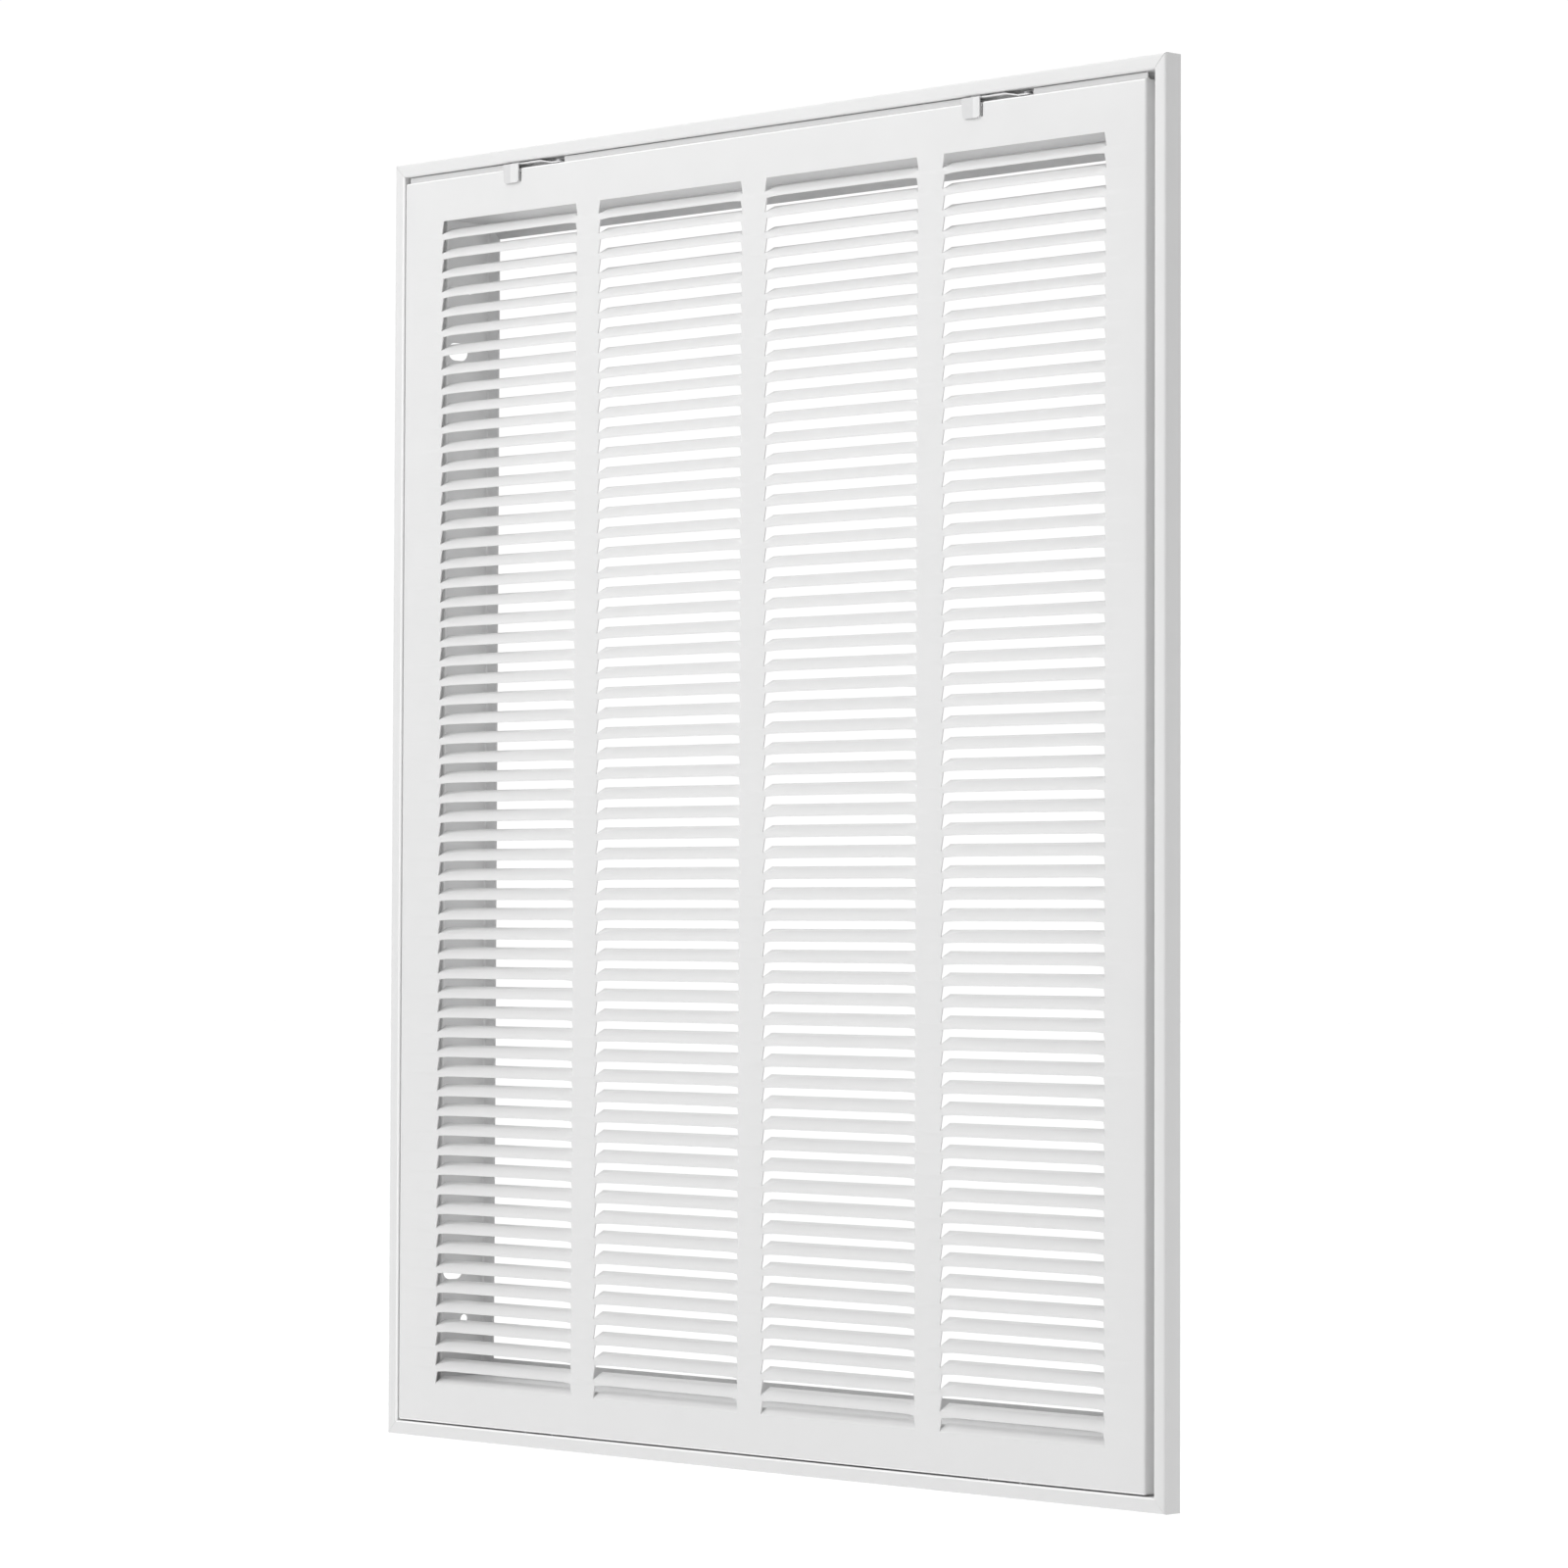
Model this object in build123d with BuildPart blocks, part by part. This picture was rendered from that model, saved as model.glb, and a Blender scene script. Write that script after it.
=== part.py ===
from build123d import *
from math import hypot
import os

# Return air filter grille. A folded steel frame stands in a duct opening and holds the
# filter, and a louvred door hinged along the bottom rim closes it, with two spring latches
# at the top. X runs right and Z up as the front is seen, Y runs into the duct. The origin
# is the centre of the opening in the plane of the wall, and the rim stands proud of it.

# Sheet
sheet = 0.7
bend = 1.5
seam = 0.3

# Frame
collar_width = 600.0
collar_height = 752.0
collar_depth = 36.0
lip = 10.7
rim_reach = 38.0
rim_depth = 13.0
rim_face = 8.8

# Corner joints of the frame
weld_gap = 0.05
key_leg = 30.0
key_width = 5.6
key_thickness = 1.2
bracket_leg = 20.0
bracket_thickness = 1.0
bracket_front = 4.0
bracket_back = 28.0

# Holes in the collar's sides
screw_hole = 6.2
screw_inset_top = 44.5
screw_inset_bottom = 36.3
screw_depth = 19.3
access_slot_length = 17.0
access_slot_width = 11.4
access_slot_depth = 9.5
access_slot_inset_top = 85.9
access_slot_inset_bottom = 68.3

# Door
door_recess = 0.5
door_flange = 10.0
door_gap_left = 1.2
door_gap_right = 6.8
door_gap_top = 4.4
door_gap_bottom = 0.9
corner_relief = 2.4

# Louvres
columns = 4
post = 19.4
field_side = 37.3
field_shift = 0.4
field_top = 32.2
field_bottom = 25.0
pitch = 12.62
slot_height = 7.95
louvre_draw = 1.2
louvre_front = (0.9, 2.4)
louvre_back = (7.8, 7.2)
flap_front = (1.2, 1.6)
flap_back = (7.8, 5.0)

# Hinge clips
hinge_inset_left = 135.7
hinge_inset_right = 117.7
hinge_behind_front = 1.2
hinge_below_door = 1.0
clip_sheet = 0.9
clip_width = 26.0
clip_base = 6.4
ear_front = 1.3
ear_width = 3.0
ear_drop = 5.0
ear_clearance = 0.4
rivet = 3.0
rivet_clearance = 0.05
rivet_head = 5.4
rivet_head_height = 1.1

# Latches
latch_inset = 125.2
latch_length = 52.0
latch_sheet = 0.8
latch_width = 7.0
latch_foot_gap = 0.3
latch_foot = 8.0
latch_ramp = 10.0
latch_raise = 2.3
latch_setback = 0.1
latch_play = 0.3
latch_rivet_setback = 4.4
tab_width = 14.6
tab_height = 12.4
tab_stand = 0.8
tab_corner = 1.5
catch_height = 2.3
catch_base = 3.0
catch_crest = 0.5
catch_length = 8.0
catch_setback = 2.9
catch_clearance = 0.5

# Places that follow from the sizes above
outer_x = collar_width / 2 + rim_reach
outer_z = collar_height / 2 + rim_reach
inner_x = outer_x - rim_face
inner_z = outer_z - rim_face
front = -rim_depth
door_front = front + door_recess
door_left = -inner_x + door_gap_left
door_right = inner_x - door_gap_right
door_bottom = -inner_z + door_gap_bottom
door_top = inner_z - door_gap_top
screw_heights = (screw_inset_bottom - collar_height / 2, collar_height / 2 - screw_inset_top)
access_slot_heights = (
    collar_height / 2 - access_slot_inset_top,
    access_slot_inset_bottom - collar_height / 2,
)
hinge_centres = (hinge_inset_left - inner_x, inner_x - hinge_inset_right)
latch_centres = (latch_inset - inner_x, inner_x - latch_inset)
hinge_y = front + hinge_behind_front
hinge_z = door_bottom - hinge_below_door
ear_centre_y = hinge_y + ear_front + ear_width / 2
field_width = 2 * (inner_x - field_side)
column_width = (field_width - (columns - 1) * post) / columns
slots_top = inner_z - field_top
rows = 1 + int((slots_top - slot_height + inner_z - field_bottom) / pitch)
slots_bottom = slots_top - (rows - 1) * pitch - slot_height
flange_top = door_bottom + sheet
ear_places = [
    (centre + side * (clip_width - clip_sheet) / 2, ear_centre_y)
    for centre in hinge_centres
    for side in (-1, 1)
]
clip_rivet_places = [(centre, ear_centre_y) for centre in hinge_centres]
latch_near = door_front + latch_setback
latch_rivet_places = [
    (centre + (latch_length - latch_foot) / 2, latch_near + latch_rivet_setback)
    for centre in latch_centres
]


def save(piece, name):
    """Names a finished piece and writes it out."""
    piece.part.label = name
    export_step(piece.part, f"parts/{name}.step")


def column_centres():
    """X of the middle of each column of louvres."""
    step = column_width + post
    return [field_shift + (i - (columns - 1) / 2) * step for i in range(columns)]


def frame_member(half_length, reach, collar_face):
    """One side of the frame folded from one strip, lying along X with its rim up."""
    with BuildPart() as member:
        with BuildSketch(Plane.YZ):
            with BuildLine():
                FilletPolyline(
                    (0, reach),
                    (front, reach),
                    (front, reach - rim_face),
                    (0, reach - rim_face),
                    radius=bend,
                )
                offset(amount=sheet, side=Side.LEFT)
            make_face()
            with BuildLine():
                Polyline(
                    (-sheet, reach - rim_face + sheet),
                    (-sheet, collar_face),
                    (collar_depth - sheet, collar_face),
                    (collar_depth - sheet, collar_face - lip),
                )
                offset(amount=sheet, side=Side.LEFT, kind=Kind.INTERSECTION)
            make_face()
        extrude(amount=half_length, both=True)
        for side in (1, -1):
            mitre = Plane(origin=(side * half_length, 0, reach), z_dir=(side, 0, -1))
            split(bisect_by=mitre.offset(-seam / 2), keep=Keep.BOTTOM)
    return member.part


def upright_member(side):
    """A side of the frame as long as the frame is high, with the holes in its collar."""
    folded = frame_member(outer_z, outer_x, collar_width / 2)
    with BuildPart() as member:
        add(folded, rotation=(0, side * 90, 0))
        with BuildSketch(Plane.YZ.offset(side * collar_width / 2)):
            with Locations([(access_slot_depth, z) for z in access_slot_heights]):
                SlotOverall(access_slot_length, access_slot_width)
            with Locations([(screw_depth, z) for z in screw_heights]):
                Circle(screw_hole / 2)
        extrude(amount=side * sheet, mode=Mode.SUBTRACT)
    return member


# Frame
level_member = frame_member(outer_x, outer_z, collar_height / 2)

with BuildPart() as frame_top:
    add(level_member)
    with BuildSketch(Plane.XY.offset(inner_z)):
        catch_y = latch_near + catch_setback + catch_base / 2
        for centre in latch_centres:
            with Locations((centre - latch_length / 2 + tab_width / 2, catch_y)):
                Rectangle(catch_length + 2 * catch_clearance, catch_base + 2 * catch_clearance)
    extrude(amount=sheet, mode=Mode.SUBTRACT)

with BuildPart() as frame_bottom:
    add(level_member, rotation=(0, 180, 0))
    with BuildSketch(Plane.XY.offset(-inner_z)):
        slot_near = hinge_y + ear_front - ear_clearance
        slot_far = hinge_y + hypot(ear_front + ear_width, ear_drop) + ear_clearance
        with Locations([(x, (slot_near + slot_far) / 2) for x, y in ear_places]):
            Rectangle(clip_sheet + 2 * ear_clearance, slot_far - slot_near)
    extrude(amount=-sheet, mode=Mode.SUBTRACT)

frame_left = upright_member(-1)
frame_right = upright_member(1)


def corner_key(side_x, side_z):
    """The angle inside the hollow rim that joins two sides of the frame at a corner."""
    far_x = outer_x - (rim_face - key_width) / 2
    far_z = outer_z - (rim_face - key_width) / 2
    corners = (
        (far_x, far_z),
        (far_x - key_leg, far_z),
        (far_x - key_leg, far_z - key_width),
        (far_x - key_width, far_z - key_width),
        (far_x - key_width, far_z - key_leg),
        (far_x, far_z - key_leg),
    )
    with BuildPart() as key:
        with BuildSketch(Plane.XZ.offset(-(front + sheet + weld_gap))):
            with BuildLine():
                Polyline([(side_x * x, side_z * z) for x, z in corners], close=True)
            make_face()
        extrude(amount=-key_thickness)
    return key


def corner_bracket(side_x, side_z):
    """The angle outside the collar that joins two sides of the frame at a corner."""
    near_x = collar_width / 2 + sheet + weld_gap
    near_z = collar_height / 2 + sheet + weld_gap
    far_x = near_x + bracket_thickness
    far_z = near_z + bracket_thickness
    corners = (
        (far_x, far_z),
        (near_x - bracket_leg, far_z),
        (near_x - bracket_leg, near_z),
        (near_x, near_z),
        (near_x, near_z - bracket_leg),
        (far_x, near_z - bracket_leg),
    )
    with BuildPart() as bracket:
        with BuildSketch(Plane.XZ.offset(-bracket_front)):
            with BuildLine():
                Polyline([(side_x * x, side_z * z) for x, z in corners], close=True)
            make_face()
        extrude(amount=bracket_front - bracket_back)
    return bracket


def bent_sheet(width, fold, tip):
    """A strip of sheet that leans back from the door's face, folded once, along X."""
    with BuildPart() as strip:
        with BuildSketch(Plane.YZ.offset(-width / 2)):
            with BuildLine():
                Polyline((0, 0), fold, tip)
                offset(amount=sheet, side=Side.RIGHT, kind=Kind.INTERSECTION)
            make_face()
        extrude(amount=width)
    return strip.part


# Door, one sheet with the louvres lanced from its face
louvre = bent_sheet(column_width, louvre_front, louvre_back)
flap = bent_sheet(column_width, flap_front, flap_back)

with BuildPart() as door:
    with Locations((
        (door_left + door_right) / 2,
        door_front + door_flange / 2,
        (door_bottom + door_top) / 2,
    )):
        Box(door_right - door_left, door_flange, door_top - door_bottom)
    fillet(door.faces().sort_by(Axis.Y)[0].edges(), radius=bend)
    offset(amount=-sheet, openings=door.faces().sort_by(Axis.Y)[-1])
    with Locations([
        (x, door_front + bend + sheet + door_flange / 2, z)
        for x in (door_left, door_right)
        for z in (door_bottom, door_top)
    ]):
        Box(2 * corner_relief, door_flange, 2 * corner_relief, mode=Mode.SUBTRACT)
    with BuildSketch(Plane.XZ.offset(-door_front)):
        with Locations([(x, (slots_top + slots_bottom) / 2) for x in column_centres()]):
            Rectangle(column_width, slots_top - slots_bottom)
    extrude(amount=-sheet, mode=Mode.SUBTRACT)
    louvre_foot = slots_top - pitch + louvre_draw
    with Locations([
        (x, door_front, louvre_foot - row * pitch)
        for x in column_centres()
        for row in range(rows - 1)
    ]):
        add(louvre)
    with Locations([(x, door_front, slots_bottom) for x in column_centres()]):
        add(flap)
    with BuildSketch(Plane.XY.offset(flange_top)):
        with Locations(ear_places):
            Rectangle(clip_sheet + ear_clearance, ear_width + ear_clearance)
        with Locations(clip_rivet_places):
            Circle(rivet / 2 + rivet_clearance)
    extrude(amount=-sheet, mode=Mode.SUBTRACT)
    with BuildSketch(Plane.XY.offset(door_top)):
        with Locations(latch_rivet_places):
            Circle(rivet / 2 + rivet_clearance)
    extrude(amount=-sheet, mode=Mode.SUBTRACT)


def hinge_clip(side):
    """A clip on the door's bottom flange whose two ears hang in slots of the bottom rim."""
    with BuildPart() as clip:
        with BuildSketch(Plane.XY.offset(flange_top)):
            with Locations((hinge_centres[side], hinge_y + ear_front + clip_base / 2)):
                Rectangle(clip_width, clip_base)
            with Locations(clip_rivet_places[side]):
                Circle(rivet / 2 + rivet_clearance, mode=Mode.SUBTRACT)
        extrude(amount=clip_sheet)
        with BuildSketch(Plane.XY.offset(flange_top)):
            with Locations(ear_places[2 * side:2 * side + 2]):
                Rectangle(clip_sheet, ear_width)
        extrude(amount=hinge_z - ear_drop - flange_top)
    return clip


def latch(side):
    """A spring strip from its foot on the door's top flange to the tab before the door."""
    left = latch_centres[side] - latch_length / 2
    right = latch_centres[side] + latch_length / 2
    foot_z = door_top + latch_foot_gap
    raised_z = door_top + latch_raise
    top_z = raised_z + latch_sheet
    tab_y = door_front - tab_stand
    catch_y = latch_near + catch_setback
    with BuildPart() as strip:
        with BuildSketch(Plane.XZ.offset(-latch_near)):
            with BuildLine():
                Polyline(
                    (left, raised_z),
                    (right - latch_foot - latch_ramp, raised_z),
                    (right - latch_foot, foot_z),
                    (right, foot_z),
                )
                offset(amount=latch_sheet, side=Side.LEFT, kind=Kind.INTERSECTION)
            make_face()
        extrude(amount=-latch_width)
        with BuildSketch(Plane.XY.offset(foot_z)):
            with Locations(latch_rivet_places[side]):
                Circle(rivet / 2 + latch_play)
        extrude(amount=latch_sheet, mode=Mode.SUBTRACT)
        with BuildSketch(Plane.XY.offset(raised_z)):
            with Locations((left + tab_width / 2, (tab_y - latch_sheet + latch_near) / 2)):
                Rectangle(tab_width, latch_near - tab_y + latch_sheet)
        extrude(amount=latch_sheet)
        with BuildSketch(Plane.XZ.offset(-tab_y)):
            with Locations((left + tab_width / 2, top_z - tab_height / 2)):
                Rectangle(tab_width, tab_height)
        extrude(amount=latch_sheet)
        chamfer(strip.edges().filter_by(Axis.Y).group_by(Axis.Z)[0], length=tab_corner)
        with BuildSketch(Plane.YZ.offset(left + (tab_width - catch_length) / 2)):
            with BuildLine():
                Polyline(
                    (catch_y, top_z),
                    (catch_y + catch_base, top_z),
                    (catch_y + catch_crest, top_z + catch_height),
                    (catch_y, top_z + catch_height),
                    close=True,
                )
            make_face()
        extrude(amount=catch_length)
    return strip


with BuildPart() as hinge_rivets:
    with BuildSketch(Plane.XY.offset(door_bottom)):
        with Locations(clip_rivet_places):
            Circle(rivet / 2)
    extrude(amount=sheet + clip_sheet)
    with BuildSketch(Plane.XY.offset(flange_top + clip_sheet)):
        with Locations(clip_rivet_places):
            Circle(rivet_head / 2)
    extrude(amount=rivet_head_height)

with BuildPart() as latch_rivets:
    with BuildSketch(Plane.XY.offset(door_top - sheet)):
        with Locations(latch_rivet_places):
            Circle(rivet / 2)
    extrude(amount=sheet + latch_foot_gap + latch_sheet + latch_play)
    with BuildSketch(Plane.XY.offset(door_top + latch_foot_gap + latch_sheet + latch_play)):
        with Locations(latch_rivet_places):
            Circle(rivet_head / 2)
    extrude(amount=rivet_head_height)

# Files
os.makedirs("parts", exist_ok=True)
save(frame_top, "frame_top")
save(frame_bottom, "frame_bottom")
save(frame_left, "frame_left")
save(frame_right, "frame_right")
for side_x, name_x in ((-1, "left"), (1, "right")):
    for side_z, name_z in ((-1, "bottom"), (1, "top")):
        save(corner_key(side_x, side_z), f"corner_key_{name_z}_{name_x}")
        save(corner_bracket(side_x, side_z), f"collar_bracket_{name_z}_{name_x}")
save(door, "door")
save(hinge_clip(0), "hinge_clip_left")
save(hinge_clip(1), "hinge_clip_right")
save(hinge_rivets, "hinge_rivets")
save(latch(0), "latch_left")
save(latch(1), "latch_right")
save(latch_rivets, "latch_rivets")
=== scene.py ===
import logging
import math
from dataclasses import dataclass
from enum import Enum
from typing import Callable, Iterable, Sequence

import bmesh
import bpy
from mathutils import Matrix, Vector


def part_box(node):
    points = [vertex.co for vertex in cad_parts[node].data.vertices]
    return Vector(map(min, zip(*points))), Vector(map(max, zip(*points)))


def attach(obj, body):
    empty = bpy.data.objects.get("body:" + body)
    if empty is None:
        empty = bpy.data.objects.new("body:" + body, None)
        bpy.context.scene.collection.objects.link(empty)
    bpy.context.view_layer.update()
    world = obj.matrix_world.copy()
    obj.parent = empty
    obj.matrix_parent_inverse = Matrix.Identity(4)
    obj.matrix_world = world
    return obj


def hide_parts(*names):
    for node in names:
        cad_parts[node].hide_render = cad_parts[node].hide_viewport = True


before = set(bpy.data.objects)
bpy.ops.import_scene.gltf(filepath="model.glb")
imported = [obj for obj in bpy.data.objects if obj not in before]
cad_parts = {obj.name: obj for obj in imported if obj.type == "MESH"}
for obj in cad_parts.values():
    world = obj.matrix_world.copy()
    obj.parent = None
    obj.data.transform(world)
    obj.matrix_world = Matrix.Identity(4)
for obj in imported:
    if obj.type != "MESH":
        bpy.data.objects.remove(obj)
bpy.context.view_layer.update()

LOG = logging.getLogger("return_air_grille")

# A millimetre in the frame's metres
MM = 0.001

# Faces that meet at a smaller angle are shaded as one
SMOOTH_ANGLE = math.radians(20)

# Points that are nearer to each other are one point
WELD = 0.02 * MM

# Length of a hole cutter, half of it on each side of the sheet
THROUGH = 4.0

# Range of the forward part of a normal on a bend between a front and a side
FRONT_BEND = (-0.97, -0.3)

# How far such a bend may turn down or right, away from the light, and still take the painted highlight
ASIDE = 0.2


class Axis(Enum):
    """The three directions of the part: across, into the duct and up."""

    ACROSS = 0
    DEPTH = 1
    UP = 2


class Body(Enum):
    """The rigid bodies that the painted pieces move with."""

    FRAME = "frame"
    DOOR = "door"
    LATCH_LEFT = "latch_left"
    LATCH_RIGHT = "latch_right"


def point(across: float, depth: float, up: float) -> Vector:
    """A place given in millimetres, as a vector in metres."""
    return Vector((across, depth, up)) * MM


def on_front_bend(normal: Vector) -> bool:
    """Whether a face with this normal lies on a bend between a front and a side."""
    return FRONT_BEND[0] < normal.y < FRONT_BEND[1]


# Finishes


class GrainGroup:
    """A node group with the fine and the broad unevenness of a finished metal sheet."""

    NAME = "sheet_grain"
    INPUTS = (("Fine Scale", 900.0), ("Broad Scale", 12.0), ("Broad Share", 0.5))
    OUTPUTS = ("Height", "Mottle")
    MIDDLE_SCALE = 9.0
    FINE_DETAIL = 2.0
    MIDDLE_DETAIL = 1.0
    BROAD_DETAIL = 3.0

    @classmethod
    def tree(cls) -> bpy.types.NodeTree:
        """Builds the group once.

        Returns:
            The node tree, with the outputs Height and Mottle.
        """
        found = bpy.data.node_groups.get(cls.NAME)
        if found:
            return found
        tree = bpy.data.node_groups.new(cls.NAME, "ShaderNodeTree")
        for name, value in cls.INPUTS:
            socket = tree.interface.new_socket(name, in_out="INPUT", socket_type="NodeSocketFloat")
            socket.default_value = value
        for name in cls.OUTPUTS:
            tree.interface.new_socket(name, in_out="OUTPUT", socket_type="NodeSocketFloat")
        nodes, links = tree.nodes, tree.links
        source = nodes.new("NodeGroupInput")
        sink = nodes.new("NodeGroupOutput")
        place = nodes.new("ShaderNodeTexCoord")

        def noise(scale: bpy.types.NodeSocket, detail: float) -> bpy.types.NodeSocket:
            """Adds a noise over the piece.

            Args:
                scale: The value that sets its scale.
                detail: Its detail.

            Returns:
                Its value.
            """
            texture = nodes.new("ShaderNodeTexNoise")
            texture.inputs["Detail"].default_value = detail
            links.new(place.outputs["Object"], texture.inputs["Vector"])
            links.new(scale, texture.inputs["Scale"])
            return texture.outputs["Fac"]

        middle = nodes.new("ShaderNodeMath")
        middle.operation = "MULTIPLY"
        middle.inputs[1].default_value = cls.MIDDLE_SCALE
        links.new(source.outputs["Broad Scale"], middle.inputs[0])
        mix = nodes.new("ShaderNodeMix")
        links.new(source.outputs["Broad Share"], mix.inputs["Factor"])
        links.new(noise(middle.outputs[0], cls.MIDDLE_DETAIL), mix.inputs["A"])
        links.new(noise(source.outputs["Broad Scale"], cls.BROAD_DETAIL), mix.inputs["B"])
        links.new(noise(source.outputs["Fine Scale"], cls.FINE_DETAIL), sink.inputs["Height"])
        links.new(mix.outputs["Result"], sink.inputs["Mottle"])
        return tree


@dataclass(frozen=True)
class SheetFinish:
    """A finish on sheet metal: powder coat, zinc or plain rivet metal.

    Args:
        name: Name of the material.
        light: Base colour where the mottle is lightest.
        dark: Base colour where it is darkest.
        rough: Lowest and highest roughness.
        metallic: Share of metal in the surface.
        fine_scale: Grains per metre of the fine unevenness.
        broad_scale: Patches per metre of the broad unevenness.
        depth: Height of the fine unevenness in metres.
        strength: Strength of the bump.
        specular: Specular level of the coat.
        mottle: Values of the mottle that take the lowest and the highest roughness.
    """

    name: str
    light: tuple[float, float, float]
    dark: tuple[float, float, float]
    rough: tuple[float, float]
    metallic: float
    fine_scale: float
    broad_scale: float
    depth: float
    strength: float
    specular: float
    mottle: tuple[float, float] = (0.3, 0.7)

    def material(self) -> bpy.types.Material:
        """Builds the material once.

        Returns:
            The material.
        """
        found = bpy.data.materials.get(self.name)
        if found:
            return found
        material = bpy.data.materials.new(self.name)
        material.use_nodes = True
        nodes, links = material.node_tree.nodes, material.node_tree.links
        shader = nodes["Principled BSDF"]
        shader.inputs["Metallic"].default_value = self.metallic
        shader.inputs["Specular IOR Level"].default_value = self.specular
        grain = nodes.new("ShaderNodeGroup")
        grain.node_tree = GrainGroup.tree()
        grain.inputs["Fine Scale"].default_value = self.fine_scale
        grain.inputs["Broad Scale"].default_value = self.broad_scale
        colour = nodes.new("ShaderNodeMix")
        colour.data_type = "RGBA"
        colour.inputs["A"].default_value = (*self.dark, 1.0)
        colour.inputs["B"].default_value = (*self.light, 1.0)
        rough = nodes.new("ShaderNodeMapRange")
        rough.inputs["From Min"].default_value = self.mottle[0]
        rough.inputs["From Max"].default_value = self.mottle[1]
        rough.inputs["To Min"].default_value = self.rough[0]
        rough.inputs["To Max"].default_value = self.rough[1]
        bump = nodes.new("ShaderNodeBump")
        bump.inputs["Distance"].default_value = self.depth
        bump.inputs["Strength"].default_value = self.strength
        links.new(grain.outputs["Mottle"], colour.inputs["Factor"])
        links.new(colour.outputs["Result"], shader.inputs["Base Color"])
        links.new(grain.outputs["Mottle"], rough.inputs["Value"])
        links.new(rough.outputs["Result"], shader.inputs["Roughness"])
        links.new(grain.outputs["Height"], bump.inputs["Height"])
        links.new(bump.outputs["Normal"], shader.inputs["Normal"])
        return material


# The painted pieces are taken to have one white paint. The other coats are tones of it, chosen to match
# the photograph's light: a painted highlight on the outer bends that face the light, painted shade inside
# the collar, deeper painted shade inside the top side's collar, and a darker, rougher tone on the left
# side of each tab.
POWDER_COAT = SheetFinish(
    "white_powder_coat",
    light=(0.762, 0.762, 0.762), dark=(0.728, 0.728, 0.728), rough=(0.36, 0.46),
    metallic=0.0, fine_scale=1100.0, broad_scale=5.0, depth=0.00004, strength=0.35, specular=0.5,
)
SPRING_COAT = SheetFinish(
    "white_spring_coat",
    light=(0.77, 0.77, 0.77), dark=(0.72, 0.72, 0.725), rough=(0.30, 0.42),
    metallic=0.0, fine_scale=1300.0, broad_scale=30.0, depth=0.00003, strength=0.35, specular=0.5,
)
# Painted highlight: a lighter, glossier tone on the outer bends that face the light
HIGHLIGHT_COAT = SheetFinish(
    "white_powder_coat_painted_highlight",
    light=(0.96, 0.96, 0.96), dark=(0.92, 0.92, 0.92), rough=(0.26, 0.34),
    metallic=0.0, fine_scale=1100.0, broad_scale=5.0, depth=0.00003, strength=0.2, specular=0.6,
)
# Painted shade: a darker tone inside the collar, where shade falls
COLLAR_SHADE_COAT = SheetFinish(
    "white_powder_coat_collar_shade",
    light=(0.69, 0.69, 0.69), dark=(0.63, 0.63, 0.635), rough=(0.40, 0.52),
    metallic=0.0, fine_scale=1100.0, broad_scale=14.0, depth=0.00004, strength=0.35, specular=0.45,
)
# Deeper painted shade inside the top side's collar, which faces down
SHADED_COAT = SheetFinish(
    "white_powder_coat_shaded",
    light=(0.56, 0.56, 0.56), dark=(0.51, 0.51, 0.515), rough=(0.44, 0.56),
    metallic=0.0, fine_scale=1100.0, broad_scale=14.0, depth=0.00004, strength=0.35, specular=0.45,
)
# A darker, rougher tone on the tab's side left of the crease
DARKER_TAB_COAT = SheetFinish(
    "white_spring_coat_darker",
    light=(0.69, 0.69, 0.69), dark=(0.63, 0.63, 0.635), rough=(0.40, 0.55),
    metallic=0.0, fine_scale=1300.0, broad_scale=60.0, depth=0.00003, strength=0.4, specular=0.4,
)
ZINC = SheetFinish(
    "galvanised",
    light=(0.66, 0.67, 0.68), dark=(0.48, 0.49, 0.51), rough=(0.30, 0.50),
    metallic=1.0, fine_scale=700.0, broad_scale=60.0, depth=0.00003, strength=0.3, specular=0.5,
)
RIVET_METAL = SheetFinish(
    "rivet_metal",
    light=(0.72, 0.72, 0.73), dark=(0.58, 0.58, 0.60), rough=(0.28, 0.42),
    metallic=1.0, fine_scale=1500.0, broad_scale=120.0, depth=0.00002, strength=0.3, specular=0.5,
)


# The bench


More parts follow.
